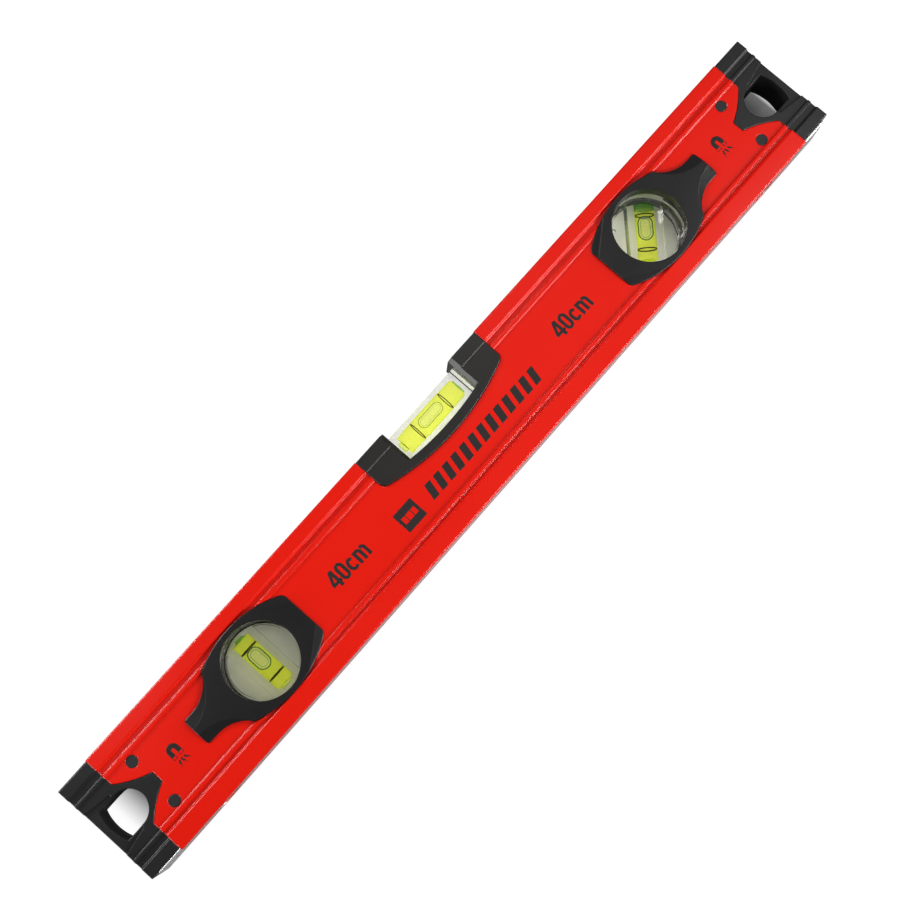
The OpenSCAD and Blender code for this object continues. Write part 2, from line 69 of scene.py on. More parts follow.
print("solids:", len(level), "length in mm:", round((cad_high.x - cad_low.x) / MM, 1))

# %% [markdown]
# ## The camera
# The picture was taken by a camera that looks at the front face from a little below the base,
# turned so that the level runs up to the right. A camera can be placed by hand until the
# picture fits, or its place can be worked out from known points of the object. Here it was
# worked out, so its place and its three directions are written as numbers.
# %% Camera
EYE = Vector((-0.09532, -0.58177, -0.02688))
RIGHT = Vector((0.65848588, -0.03416434, -0.75181723))
DOWN = Vector((-0.73698273, 0.17313656, -0.65336069))
AHEAD = Vector((0.15248869, 0.9843051, 0.08882945))
PICTURE_SIDE = 900
FOCAL_PIXELS = 1493.47
SENSOR_MM = 36.0
NEAREST_SEEN = 0.01

lens = bpy.data.cameras.new("studio_camera")
lens.sensor_width = SENSOR_MM
lens.lens = FOCAL_PIXELS * SENSOR_MM / PICTURE_SIDE
lens.clip_start = NEAREST_SEEN
camera = bpy.data.objects.new("studio_camera", lens)
bpy.context.scene.collection.objects.link(camera)
turned = Matrix((RIGHT, -DOWN, -AHEAD)).transposed().to_4x4()
camera.matrix_world = Matrix.Translation(EYE) @ turned
bpy.context.scene.camera = camera
print("lens in mm:", round(lens.lens, 2))

# %% [markdown]
# ## Helpers for materials
# A material is a small tree of nodes. Writing each node with its settings and its inputs in
# one call keeps the trees readable. An input is either a plain value or the output of another
# node, and the helper tells the two apart. A node's sockets can be asked for by name, but
# those of a Mix or a Math node share their names, so they are asked for by number.
# %% Node helpers
MIX_FACTOR, NUMBER_FIRST, NUMBER_SECOND, COLOUR_FIRST, COLOUR_SECOND = 0, 2, 3, 6, 7
NUMBER_MIXED, COLOUR_MIXED = 0, 2


def feed(tree, node, inputs):
    for name, value in inputs.items():
        if isinstance(value, bpy.types.NodeSocket):
            tree.links.new(value, node.inputs[name])
        else:
            node.inputs[name].default_value = value


def add(tree, kind, inputs=None, **settings):
    made = tree.nodes.new("ShaderNode" + kind)
    for name, value in settings.items():
        setattr(made, name, value)
    feed(tree, made, inputs or {})
    return made


def finish_of(name):
    """A new material, its tree, and its shader and output, which are linked."""
    material = bpy.data.materials.new(name)
    material.use_nodes = True
    tree = material.node_tree
    tree.nodes.clear()
    shader = add(tree, "BsdfPrincipled")
    output = add(tree, "OutputMaterial", {"Surface": shader.outputs["BSDF"]})
    return material, tree, shader, output


def place(tree):
    return add(tree, "TexCoord").outputs["Object"]


def spot_of(tree):
    """The three numbers X, Y and Z of the place, in metres."""
    return add(tree, "SeparateXYZ", {"Vector": place(tree)}).outputs


def maths(tree, operation, first, second=None):
    inputs = {0: first} if second is None else {0: first, 1: second}
    return add(tree, "Math", inputs, operation=operation).outputs[0]


def blend_of(tree, factor, first, second):
    inputs = {MIX_FACTOR: factor, COLOUR_FIRST: first, COLOUR_SECOND: second}
    return add(tree, "Mix", inputs, data_type="RGBA").outputs[COLOUR_MIXED]


def stretched(tree, value, low, high, from_low=0.0, from_high=1.0):
    ranged = add(tree, "MapRange", {"Value": value, "From Min": from_low, "From Max": from_high,
                                    "To Min": low, "To Max": high})
    return ranged.outputs["Result"]


def colour_bands(tree, factor, bands):
    """The bands are (place from 0 to 1, colour), in rising order."""
    ramp = add(tree, "ValToRGB", {"Fac": factor})
    stops = ramp.color_ramp.elements
    stops[0].position, stops[1].position = bands[0][0], bands[-1][0]
    for position, _ in bands[1:-1]:
        stops.new(position)
    for stop, (_, colour) in zip(stops, bands):
        stop.color = (*colour, 1)
    return ramp.outputs["Color"]


print("sockets of a colour mix:", COLOUR_FIRST, COLOUR_SECOND, "to", COLOUR_MIXED)

# %% [markdown]
# ## Two shared surface effects
# Coated metal and moulded plastic both have a fine skin that breaks up a reflection, and a
# slow change of tone from place to place. Bare metal has lines from the tool that cut it.
# Each effect is used by several materials, so each is one node group, with its sizes as
# inputs. The groups put out values only. The shaders stay in the materials.
# %% Skin grain and tool lines
FINE_DETAIL = 3.0
SLOW_DETAIL = 4.0
LINE_DETAIL = 4.0


def new_group(name, inputs, outputs):
    tree = bpy.data.node_groups.new(name, "ShaderNodeTree")
    sides = [(label, "INPUT") for label in inputs] + [(label, "OUTPUT") for label in outputs]
    for label, side in sides:
        socket = tree.interface.new_socket(name=label, in_out=side, socket_type="NodeSocketFloat")
        if side == "INPUT":
            socket.default_value = inputs[label]
    return tree, tree.nodes.new("NodeGroupInput"), tree.nodes.new("NodeGroupOutput")


def use_group(tree, group, **inputs):
    named = {label.capitalize(): value for label, value in inputs.items()}
    return add(tree, "Group", named, node_tree=group)


skin, entry, leave = new_group("skin_grain", {"Grain": 2600.0, "Cloud": 45.0}, ["Height", "Tone"])
fine = add(skin, "TexNoise", {"Vector": place(skin), "Scale": entry.outputs["Grain"],
                              "Detail": FINE_DETAIL})
slow = add(skin, "TexNoise", {"Vector": place(skin), "Scale": entry.outputs["Cloud"],
                              "Detail": SLOW_DETAIL})
feed(skin, leave, {"Height": fine.outputs["Fac"], "Tone": slow.outputs["Fac"]})

cut, entry, leave = new_group("tool_lines", {"Lines": 5000.0, "Along": 40.0}, ["Height", "Tone"])
spot = spot_of(cut)
across = maths(cut, "MULTIPLY", spot["Y"], entry.outputs["Lines"])
along = maths(cut, "MULTIPLY", spot["X"], entry.outputs["Along"])
lines = add(cut, "CombineXYZ", {"X": along, "Y": across})
marks = add(cut, "TexNoise", {"Vector": lines.outputs[0], "Scale": 1.0, "Detail": LINE_DETAIL})
feed(cut, leave, {"Height": marks.outputs["Fac"], "Tone": marks.outputs["Fac"]})
print("groups:", [group.name for group in bpy.data.node_groups])

# %% [markdown]
# ## Bent normals
# A bump makes a flat face look uneven, and a bevel in the material makes a sharp edge look
# rounded. Both only turn the direction in which a face seems to look, so they suit the fine
# skin and the small rounding of edges, which are too small to be worth a mesh.
# %% Bump and soft edge
EDGE_SAMPLES = 6


def bumped(tree, height, strength, depth, normal=None):
    inputs = {"Height": height, "Strength": strength, "Distance": depth}
    if normal is not None:
        inputs["Normal"] = normal
    return add(tree, "Bump", inputs).outputs["Normal"]


def soft_edges(tree, radius):
    return add(tree, "Bevel", {"Radius": radius}, samples=EDGE_SAMPLES).outputs["Normal"]


print("rays for a soft edge:", EDGE_SAMPLES)

# %% [markdown]
# ## Red coat with a bare milled base
# The section is powder coated red all over. The middle of its base is then milled flat, which
# leaves a strip of clean metal between two red borders. The strip that runs on under each cap
# is bare as well. Two materials on two sets of faces would do, but one material with a mask
# needs no change to the solid: the mask asks how high a point is, how far it lies from the
# middle of the base, and how far from the middle of the length.
# %% Red coat
BARE_HEIGHT = 0.25 * MM
BARE_HALF_WIDTH = 5.5 * MM
STRIP_START = 185.15 * MM
SOFT_EDGE = 0.12 * MM
EDGE_RADIUS = 0.8 * MM
COAT_DEEP, COAT_BRIGHT = (0.69, 0.0075, 0.0015, 1), (0.74, 0.0100, 0.0025, 1)
METAL_DARK, METAL_PALE = (0.62, 0.62, 0.63, 1), (0.82, 0.82, 0.83, 1)
COAT_ROUGH, METAL_ROUGH = (0.18, 0.23), (0.38, 0.52)
COAT_BUMP, COAT_DEPTH = 0.008, 0.1 * MM
MILLED_BUMP, MILLED_DEPTH = 0.04, 0.05 * MM
COAT_SPECULAR = 0.42

red_coat, tree, shader, _ = finish_of("red_coat")
grain = use_group(tree, skin, grain=1500.0, cloud=30.0)
tool = use_group(tree, cut, lines=4200.0, along=30.0)
spot = spot_of(tree)
low = stretched(tree, spot["Z"], 1.0, 0.0, BARE_HEIGHT, BARE_HEIGHT + SOFT_EDGE)
off_centre = maths(tree, "ABSOLUTE", spot["Y"])
central = stretched(tree, off_centre, 1.0, 0.0, BARE_HALF_WIDTH, BARE_HALF_WIDTH + SOFT_EDGE)
base = maths(tree, "MULTIPLY", low, central)
from_middle = maths(tree, "ABSOLUTE", spot["X"])
strip = stretched(tree, from_middle, 0.0, 1.0, STRIP_START, STRIP_START + SOFT_EDGE)
bare = maths(tree, "MAXIMUM", base, strip)
coat = blend_of(tree, grain.outputs["Tone"], COAT_DEEP, COAT_BRIGHT)
metal = blend_of(tree, tool.outputs["Tone"], METAL_DARK, METAL_PALE)
coat_rough = stretched(tree, grain.outputs["Tone"], *COAT_ROUGH)
metal_rough = stretched(tree, tool.outputs["Tone"], *METAL_ROUGH)
rough = add(tree, "Mix", {MIX_FACTOR: bare, NUMBER_FIRST: coat_rough, NUMBER_SECOND: metal_rough})
soft = soft_edges(tree, EDGE_RADIUS)
coat_skin = bumped(tree, grain.outputs["Height"], COAT_BUMP, COAT_DEPTH, soft)
milled = bumped(tree, tool.outputs["Height"], MILLED_BUMP, MILLED_DEPTH, soft)
feed(tree, shader, {"Normal": blend_of(tree, bare, coat_skin, milled),
                    "Base Color": blend_of(tree, bare, coat, metal), "Metallic": bare,
                    "Roughness": rough.outputs[NUMBER_MIXED], "Specular IOR Level": COAT_SPECULAR})
print("red coat: bare below", BARE_HEIGHT / MM, "mm and beyond", STRIP_START / MM, "mm")

# %% [markdown]
# ## Moulded black plastic
# The caps, the holders, the insert and the locking pins are moulded in black plastic with a
# soft sheen. The pieces differ a little in tone, as pieces from different moulds do. One
# function makes the finish, and each family of pieces gets its own tone and its own gloss.
# %% Black plastic
PLASTIC_EDGE = 0.6 * MM
PLASTIC_CLOUD = 70.0
PLASTIC_BUMP, PLASTIC_DEPTH = 0.05, 0.05 * MM
PLASTIC_SPECULAR = 0.50


def black_plastic(name, dark, pale, roughness, grain_scale):
    material, tree, shader, _ = finish_of(name)
    grain = use_group(tree, skin, grain=grain_scale, cloud=PLASTIC_CLOUD)
    tone = blend_of(tree, grain.outputs["Tone"], (*dark, 1), (*pale, 1))
    rough = stretched(tree, grain.outputs["Tone"], *roughness)
    soft = soft_edges(tree, PLASTIC_EDGE)
    skinned = bumped(tree, grain.outputs["Height"], PLASTIC_BUMP, PLASTIC_DEPTH, soft)
    feed(tree, shader, {"Base Color": tone, "Roughness": rough, "Normal": skinned,
                        "Specular IOR Level": PLASTIC_SPECULAR})
    return material


cap_black = black_plastic("cap_black", (0.0125, 0.0125, 0.013), (0.0165, 0.0165, 0.017),
                          (0.28, 0.36), 2200.0)
holder_black = black_plastic("holder_black", (0.0095, 0.009, 0.0095), (0.0125, 0.012, 0.013),
                             (0.24, 0.32), 2600.0)
insert_black = black_plastic("insert_black", (0.0165, 0.0155, 0.0145), (0.0195, 0.018, 0.017),
                             (0.26, 0.34), 2200.0)
pin_black = black_plastic("pin_black", (0.015, 0.015, 0.016), (0.020, 0.020, 0.021),
                          (0.40, 0.50), 3000.0)
print("plastics:", cap_black.name, holder_black.name, insert_black.name, pin_black.name)

# %% [markdown]
# ## Clear acrylic, spirit and air
# A ray of light that meets acrylic bends. Liquid takes some colour out of light all along its way,
# and a volume that absorbs light would do the same. A tint on the surface is quicker and suits a
# vial this small. It changes with how far the surface turns from the eye, so that the middle is
# bright and the rim is dark: the dark rim is painted shade, which stands in for the light that a
# curved wall bends and mirrors away.
#
# The spirit is dyed so that it glows in daylight, and that light is painted as a glow which shines
# the same under any lamp. The plug and the green end get a painted glow too, and the walls of a
# bubble a pale painted light that brightens the bubble. The glow comes from the far side alone, so
# a ring or the rim of a bubble stays dark in front of it. Lamps shine through a clear piece as
# through tinted glass, because a bent ray would take too long to find them.
# %% Clear materials
CLEAR_GRAIN, CLEAR_CLOUD = 900.0, 120.0
CLEAR_DIMMEST = 0.97
ROUGH_SPREAD = 0.01
EVEN_BLEND = 0.5


def clear_material(name, bands, bending=1.0, rough=0.0, glow=None, strength=0.0, hollow=False):
    """The bands are (how far the surface turns from the eye, colour) from 0 to 1. The walls
    of a hollow face inwards, so there the far side is the one that shows its front."""
    material, tree, shader, output = finish_of(name)
    grain = use_group(tree, skin, grain=CLEAR_GRAIN, cloud=CLEAR_CLOUD)
    turned_away = add(tree, "LayerWeight", {"Blend": EVEN_BLEND})
    # painted shade: the colour follows how far the surface turns from the eye, darker at the rim
    shaded_by_facing = colour_bands(tree, turned_away.outputs["Facing"], bands)
    dimmed = stretched(tree, grain.outputs["Tone"], 1.0, CLEAR_DIMMEST)
    toned = add(tree, "HueSaturation", {"Value": dimmed, "Color": shaded_by_facing})
    roughness = stretched(tree, grain.outputs["Tone"], rough, rough + ROUGH_SPREAD)
    feed(tree, shader, {"Base Color": toned.outputs["Color"], "Roughness": roughness,
                        "Transmission Weight": 1.0, "IOR": bending})
    # painted glow: an emission that shines the same under any lamp, from the far side only
    if glow:
        back = add(tree, "NewGeometry").outputs["Backfacing"]
        from_front, from_back = (strength, 0.0) if hollow else (0.0, strength)
        feed(tree, shader, {"Emission Color": (*glow, 1),
                            "Emission Strength": stretched(tree, back, from_front, from_back)})
    path = add(tree, "LightPath")
    through = add(tree, "BsdfTransparent", {"Color": (*bands[0][1], 1)})
    mixed = add(tree, "MixShader", {0: path.outputs["Is Shadow Ray"], 1: shader.outputs["BSDF"],
                                    2: through.outputs["BSDF"]})
    feed(tree, output, {"Surface": mixed.outputs[0]})
    return material


print("the skin's tone dims a clear piece by up to", round(1 - CLEAR_DIMMEST, 2))

# %% [markdown]
# ### Tints and painted shade of the clear pieces
# Acrylic is almost without colour. The spirit is yellow, with a painted darker rim, and its end
# gets a painted green that stands in for light caught in the end. The wall of a bubble has a
# painted dark rim and a painted dark thin line inside it, which stand in for the light that the
# round wall bends and mirrors and so show how round the bubble is, and both are fainter in the top
# vial. The plug gets a painted dark rim too.
# %% Tints and painted shade
ACRYLIC_BENDING = 1.49
BUBBLE_BENDING = 1.03
DISC_ROUGH = 0.01
ALMOST_WHITE, WARM_WHITE = (0.98, 1.0, 0.95), (0.98, 1.0, 0.90)
LINE_AT, LINE_REACH, RIM_FADE = 0.22, 0.07, 0.10
disc_tint = [(0.0, (0.885, 0.881, 0.848)), (1.0, (0.865, 0.868, 0.815))]
block_tint = [(0.0, (0.962, 0.957, 0.975)), (1.0, (0.94, 0.94, 0.93))]
# painted shade: the spirit's colour darkens towards its rim
spirit_tint_and_rim_shade = [(0.0, (0.80, 0.83, 0.16)), (0.35, (0.79, 0.82, 0.15)), (1.0, (0.60, 0.70, 0.08))]
# painted light: the green of light caught in the spirit's end
end_painted_green = [(0.0, (0.34, 0.62, 0.16)), (1.0, (0.12, 0.36, 0.08))]
# the plug's yellow, with a painted dark rim
plug_tint_and_rim_shade = [(0.0, (0.80, 0.88, 0.30)), (0.6, (0.78, 0.86, 0.26)), (1.0, (0.12, 0.30, 0.05))]
air_tint = [(0.0, (1.0, 1.0, 1.0)), (1.0, (1.0, 1.0, 1.0))]


def painted_rim_bands(line, rim_from, rim, edge):
    """Clear with a painted dark line inside, and a painted dark rim from rim_from on that ends in
    the edge.
    """
    return [(0.0, ALMOST_WHITE), (LINE_AT - LINE_REACH, ALMOST_WHITE), (LINE_AT, line),
            (LINE_AT + LINE_REACH, ALMOST_WHITE), (rim_from, WARM_WHITE),
            (rim_from + RIM_FADE, rim), (1.0, edge)]


# painted shade: the dark rim and the dark thin line in a bubble's wall
wall_painted_rim = painted_rim_bands((0.34, 0.54, 0.14), 0.40, (0.05, 0.20, 0.02), (0.04, 0.18, 0.02))
faint_painted_rim = painted_rim_bands((0.62, 0.74, 0.32), 0.44, (0.36, 0.48, 0.10), (0.28, 0.42, 0.08))
# painted glows of the spirit, its end and the plug, and the painted light in a bubble
yellow_painted_glow, green_painted_glow, bubble_painted_light = (0.92, 1.0, 0.14), (0.3, 0.8, 0.2), (0.45, 0.40, 1.0)
disc_acrylic = clear_material("disc_acrylic", disc_tint, ACRYLIC_BENDING, DISC_ROUGH)
block_acrylic = clear_material("block_acrylic", block_tint, ACRYLIC_BENDING)
spirit = clear_material("spirit", spirit_tint_and_rim_shade, glow=yellow_painted_glow, strength=0.22)
spirit_end = clear_material("spirit_end", end_painted_green, glow=green_painted_glow, strength=0.06)
bubble_wall, faint_wall = (
    clear_material(name, tint, BUBBLE_BENDING, glow=bubble_painted_light, strength=0.24, hollow=True)
    for name, tint in (("bubble_wall", wall_painted_rim), ("faint_wall", faint_painted_rim)))
air = clear_material("air", air_tint)
plug_clear = clear_material("plug_clear", plug_tint_and_rim_shade, glow=yellow_painted_glow, strength=0.16)
print("clear:", disc_acrylic.name, block_acrylic.name, spirit.name, spirit_end.name,
      bubble_wall.name, faint_wall.name, air.name, plug_clear.name)

# %% [markdown]
# ### The sawn end of the block
# The right-hand end of the top vial's block is left as the saw cuts it, so light scatters
# there. A coarse bump on clear acrylic shows that, and needs no change of shape.
# %% Sawn acrylic
LUMP_SCALE, LUMP_DETAIL = 420.0, 1.0
LUMP_BUMP, LUMP_DEPTH = 0.9, 0.8 * MM
SAWN_TINT = (0.90, 0.92, 0.86, 1)
SAWN_ROUGH = 0.05

block_sawn, tree, shader, _ = finish_of("block_sawn")
lumps = add(tree, "TexNoise", {"Vector": place(tree), "Scale": LUMP_SCALE, "Detail": LUMP_DETAIL})
uneven = bumped(tree, lumps.outputs["Fac"], LUMP_BUMP, LUMP_DEPTH)
feed(tree, shader, {"Normal": uneven, "Base Color": SAWN_TINT, "Roughness": SAWN_ROUGH,
                    "Transmission Weight": 1.0, "IOR": ACRYLIC_BENDING})
print("sawn:", block_sawn.name, "lumps in mm:", round(1 / LUMP_SCALE / MM, 1))

# %% [markdown]
# ## Rings, magnets and ink
# The vial rings are black plastic bands. The magnets in the base are plated discs. The
# printed marks are a thin dark ink. All three are simple opaque finishes, each with a little
# change of tone so that none of them is one flat colour.
# %% Opaque small finishes
PLATED_DARK, PLATED_PALE = (0.55, 0.54, 0.52, 1), (0.72, 0.71, 0.69, 1)
PLATED_ROUGH = (0.22, 0.36)
PLATED_LINES = 2600.0

ring_black = black_plastic("ring_black", (0.003, 0.004, 0.003), (0.006, 0.007, 0.005),
                           (0.35, 0.45), 3000.0)
ink_black = black_plastic("ink_black", (0.012, 0.007, 0.0065), (0.016, 0.009, 0.0085),
                          (0.45, 0.55), 3000.0)
plated, tree, shader, _ = finish_of("plated_magnet")
tool = use_group(tree, cut, lines=PLATED_LINES, along=PLATED_LINES)
feed(tree, shader, {"Base Color": blend_of(tree, tool.outputs["Tone"], PLATED_DARK, PLATED_PALE),
                    "Roughness": stretched(tree, tool.outputs["Tone"], *PLATED_ROUGH),
                    "Metallic": 1.0})
print("opaque:", ring_black.name, ink_black.name, plated.name)

# %% [markdown]
# ## Giving the solids their finishes
# Each solid is one object, so each needs one material. A table from a piece of the name to
# the material is shorter than a line for every solid, and it can't forget the second end.
# %% Finishes on the solids
FINISHES = {
    "profile_body": red_coat, "end_cap": cap_black, "cap_pins": pin_black, "magnet": plated,
    "top_insert": insert_black, "bezel": holder_black, "top_block": block_acrylic,
    "disc": disc_acrylic, "liquid": spirit, "bubble": air, "rings": ring_black,
    "plug": plug_clear,
}


def dress(obj, material):
    obj.data.materials.clear()
    obj.data.materials.append(material)


for name, obj in level.items():
    for word, material in FINISHES.items():
        if word in name:
            dress(obj, material)
            break
    else:
        raise ValueError("no finish for " + name)
print("finished solids:", len(level))

# %% [markdown]
# ## Acrylic that is full
# The solids keep a thin gap between the acrylic and the liquid, as parts that are made apart
# do. Light would treat that gap as a film of air and mirror in it, but real liquid touches
# the wall. So each piece of acrylic is shown by a copy without its bore: the points round
# the vial's axis are taken out, and the one hole that this leaves in the outside is closed.
# %% Copies and their meshes
COPY_MERGE = 0.002 * MM
SHARP_TURN = math.radians(30)
UPRIGHT, SLANTED, LYING = 0.0, math.radians(45), math.radians(90)


def axis_frame(name, turn):
    """A frame in the middle of a solid whose Z axis is the axis of its vial."""
    low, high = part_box(name)
    centre = (Vector(low) + Vector(high)) / 2
    return Matrix.Translation(centre) @ Matrix.Rotation(turn, 4, "Y")


def made_mesh(work, name):
    """Ends a work mesh. Its normals are worked out afresh, not kept from the solid."""
    mesh = bpy.data.meshes.new(name)
    work.to_mesh(mesh)
    work.free()
    kept = mesh.attributes.get("custom_normal")
    if kept:
        mesh.attributes.remove(kept)
    for face in mesh.polygons:
        face.use_smooth = True
    mesh.set_sharp_from_angle(angle=SHARP_TURN)
    return mesh


def shown_for(name, mesh, finishes, label):
    made = bpy.data.objects.new(name + label, mesh)
    bpy.context.scene.collection.objects.link(made)
    for finish in finishes:
        made.data.materials.append(finish)
    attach(made, "root")
    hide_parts(name)
    return made


plumb_axis = axis_frame("plumb_disc", UPRIGHT)
slant_axis = axis_frame("slant_disc", SLANTED)
top_axis = axis_frame("top_liquid", LYING)
print("middle of the slanted vial in mm:", [round(c / MM, 1) for c in slant_axis.translation])

# %% [markdown]
# ### Taking the bores out
# A bore lies round its vial's axis, so its points are those near the axis and not beyond its
# ends. In the block, the faces at the right-hand end get the sawn finish.
# %% Acrylic without its bore
DISC_BORE = (4.4 * MM, 15.0 * MM)
BLOCK_BORE = (4.7 * MM, 18.7 * MM)
FACES_RIGHT = 0.9
SAWN_SLOT = 1


def full_copy(name, axis, reach, half_length):
    """A solid's mesh without its bore: the points within reach of the vial's axis go."""
    work = bmesh.new()
    work.from_mesh(level[name].data)
    bmesh.ops.remove_doubles(work, verts=work.verts[:], dist=COPY_MERGE)
    inward = axis.inverted()
    inside = []
    for point in work.verts:
        spot = inward @ point.co
        if math.hypot(spot.x, spot.y) < reach and abs(spot.z) < half_length:
            inside.append(point)
    bmesh.ops.delete(work, geom=inside, context="VERTS")
    rim = [edge for edge in work.edges if edge.is_boundary]
    bmesh.ops.holes_fill(work, edges=rim, sides=0)
    open_edges = sum(1 for edge in work.edges if not edge.is_manifold)
    print(name, "points taken out:", len(inside), "open edges:", open_edges)
    return made_mesh(work, name + "_full")


for name, axis, bore, finish in (("plumb_disc", plumb_axis, DISC_BORE, disc_acrylic),
                                 ("slant_disc", slant_axis, DISC_BORE, disc_acrylic),
                                 ("top_block", top_axis, BLOCK_BORE, block_acrylic)):
    mesh = full_copy(name, axis, *bore)
    if name == "top_block":
        for face in mesh.polygons:
            if face.normal.x > FACES_RIGHT:
                face.material_index = SAWN_SLOT
    shown_for(name, mesh, [finish, block_sawn], "_full")

# %% [markdown]
# ## Liquid with a bubble in it
# The liquid is a turned shape, so an outline that is spun round the axis makes it. The bubble
# is a hollow in it, with walls of its own that face into the hollow, because there the liquid
# ends and air begins. The outside of the liquid doesn't bend light, as it touches acrylic.
# The wall of the bubble does so a little, and painted shade in its colour draws the dark rim.
# %% Spun liquids
TURN_STEPS = 96
SPIN_MERGE = 0.0005 * MM
POLE_STEPS = 16
WALL_SLOT, END_SLOT = 1, 2
BUBBLE_HALF = {"plumb_bubble": 5.2 * MM, "slant_bubble": 5.2 * MM, "top_bubble": 6.3 * MM}


def spun_shape(outline):
    """The outline is (distance from the axis, height) in metres, from pole to pole."""
    work = bmesh.new()
    points = [work.verts.new((r, 0, h)) for r, h in outline]
    edges = [work.edges.new(pair) for pair in zip(points, points[1:])]
    bmesh.ops.spin(work, geom=points + edges, cent=Vector((0, 0, 0)), axis=Vector((0, 0, 1)),
                   angle=2 * math.pi, steps=TURN_STEPS, use_merge=True)
    bmesh.ops.remove_doubles(work, verts=work.verts[:], dist=SPIN_MERGE)
    bmesh.ops.recalc_face_normals(work, faces=work.faces[:])
    return work


def capsule_outline(radius, half):
    """Half of a capsule's outline, from its lower pole to its upper one."""
    lower = []
    for i in range(POLE_STEPS + 1):
        turn = math.radians(90 * (i / POLE_STEPS - 1))
        lower.append((radius * math.cos(turn), radius - half + radius * math.sin(turn)))
    return lower + [(r, -h) for r, h in reversed(lower)]


def liquid_piece(name, bubble, axis, outline, end_from, wall):
    """The liquid with a hollow for the bubble. Beyond the height end_from it takes a painted
    green, which stands in for light caught in its end.
    """
    low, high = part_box(bubble)
    size = Vector(high) - Vector(low)
    centre = axis.inverted() @ ((Vector(high) + Vector(low)) / 2)
    work = spun_shape(outline)
    for face in work.faces:
        if face.calc_center_median().z > end_from:
            face.material_index = END_SLOT
    hollow = spun_shape(capsule_outline(size.y / 2, BUBBLE_HALF[bubble]))
    bmesh.ops.reverse_faces(hollow, faces=hollow.faces[:])
    bmesh.ops.translate(hollow, vec=centre, verts=hollow.verts[:])
    for face in hollow.faces:
        face.material_index = WALL_SLOT
    part = bpy.data.meshes.new("hollow")
    hollow.to_mesh(part)
    hollow.free()
    work.from_mesh(part)
    bpy.data.meshes.remove(part)
    bmesh.ops.transform(work, matrix=axis, verts=work.verts[:])
    mesh = made_mesh(work, name + "_filled")
    return shown_for(name, mesh, [spirit, wall, spirit_end], "_filled")


print("steps in a turn:", TURN_STEPS)

# %% [markdown]
# ### Outlines of the three liquids
# The liquid in a round vial is a straight column with a short blunt cone at one end, where
# the drill stopped. The top vial is a barrel, a little wider in its middle, so that its bubble
# finds the middle. Its wall follows a parabola. Each liquid is drawn a little thicker than its
# solid, so that it touches the wall.
# %% Outlines and liquids
WALL_GAP = 0.05 * MM
END_MARGIN = 0.1 * MM
TUBE_HALF = 11.75 * MM
TIP_R = 1.6 * MM
GREEN_LEN = 2.4 * MM
BARREL_NARROWS = 0.25 * MM
BARREL_TIP_R = 3.3 * MM
BARREL_TIP_LEN = 0.9 * MM
ARC_STEPS = 8

low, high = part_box("plumb_liquid")
tube_r = (high[0] - low[0]) / 2 + WALL_GAP
tube_outline = [(0, -TUBE_HALF), (tube_r, -TUBE_HALF), (tube_r, TUBE_HALF - GREEN_LEN),
                (tube_r, TUBE_HALF), (TIP_R + MM, TUBE_HALF), (TIP_R, TUBE_HALF + MM),
                (0, TUBE_HALF + MM)]
low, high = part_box("top_liquid")
barrel_r = (high[1] - low[1]) / 2 + WALL_GAP
barrel_end_r = barrel_r - BARREL_NARROWS
barrel_half = (high[0] - low[0]) / 2 + WALL_GAP
barrel_outline = [(0, -barrel_half)]
for i in range(-ARC_STEPS, ARC_STEPS + 1):
    share = i / ARC_STEPS
    along = barrel_half * share if i < 0 else (barrel_half - BARREL_TIP_LEN) * share
    barrel_outline.append((barrel_r - (barrel_r - barrel_end_r) * share ** 2, along))
barrel_outline += [(BARREL_TIP_R, barrel_half), (0, barrel_half)]

for name, axis, outline, end_from, wall in (
        ("plumb", plumb_axis, tube_outline, TUBE_HALF - END_MARGIN, bubble_wall),
        ("slant", slant_axis, tube_outline, TUBE_HALF - GREEN_LEN, bubble_wall),
        ("top", top_axis, barrel_outline, barrel_half - END_MARGIN, faint_wall)):
    made = liquid_piece(name + "_liquid", name + "_bubble", axis, outline, end_from, wall)
    print(made.name, "faces:", len(made.data.polygons))

# %% [markdown]
# ## Printed marks
# The level's length is printed on both halves of the front, and a sign over each magnet
# shows a horseshoe with three flashes. The place in the middle holds a plain row of bars and
# a plain picture of a vial. A mark could be painted by a mask in the red material, but small
# letters need clean edges, so each mark is its own thin sheet of ink on the metal. It is
# drawn flat in millimetres, thickened, and laid on the front face between the flanges.
# %% Ink helper
WEB_FACE = -9.5 * MM
INK_DEPTH = 0.03 * MM
INK_SINK = 0.01 * MM
INK_MERGE = 0.001


def ink_piece(name, work):
    """Takes flat faces in the XZ plane, in millimetres, and makes a thin sheet of them."""
    bmesh.ops.remove_doubles(work, verts=work.verts[:], dist=INK_MERGE)
    top = bmesh.ops.extrude_face_region(work, geom=work.faces[:])
    lifted = [item for item in top["geom"] if isinstance(item, bmesh.types.BMVert)]
    bmesh.ops.translate(work, vec=Vector((0, -INK_DEPTH / MM, 0)), verts=lifted)
    bmesh.ops.recalc_face_normals(work, faces=work.faces[:])
    onto_face = Matrix.Translation(Vector((0, WEB_FACE + INK_SINK, 0))) @ Matrix.Scale(MM, 4)
    bmesh.ops.transform(work, matrix=onto_face, verts=work.verts[:])
    mesh = bpy.data.meshes.new(name)
    work.to_mesh(mesh)
    work.free()
    made = bpy.data.objects.new(name, mesh)
    bpy.context.scene.collection.objects.link(made)
    dress(made, ink_black)
    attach(made, "root")
    return made


def flat_shape(work, points):
    return work.faces.new([work.verts.new((x, 0, z)) for x, z in points])


def box_shape(work, left, right, low, high):
    return flat_shape(work, [(left, low), (right, low), (right, high), (left, high)])


print("ink depth in mm:", INK_DEPTH / MM)

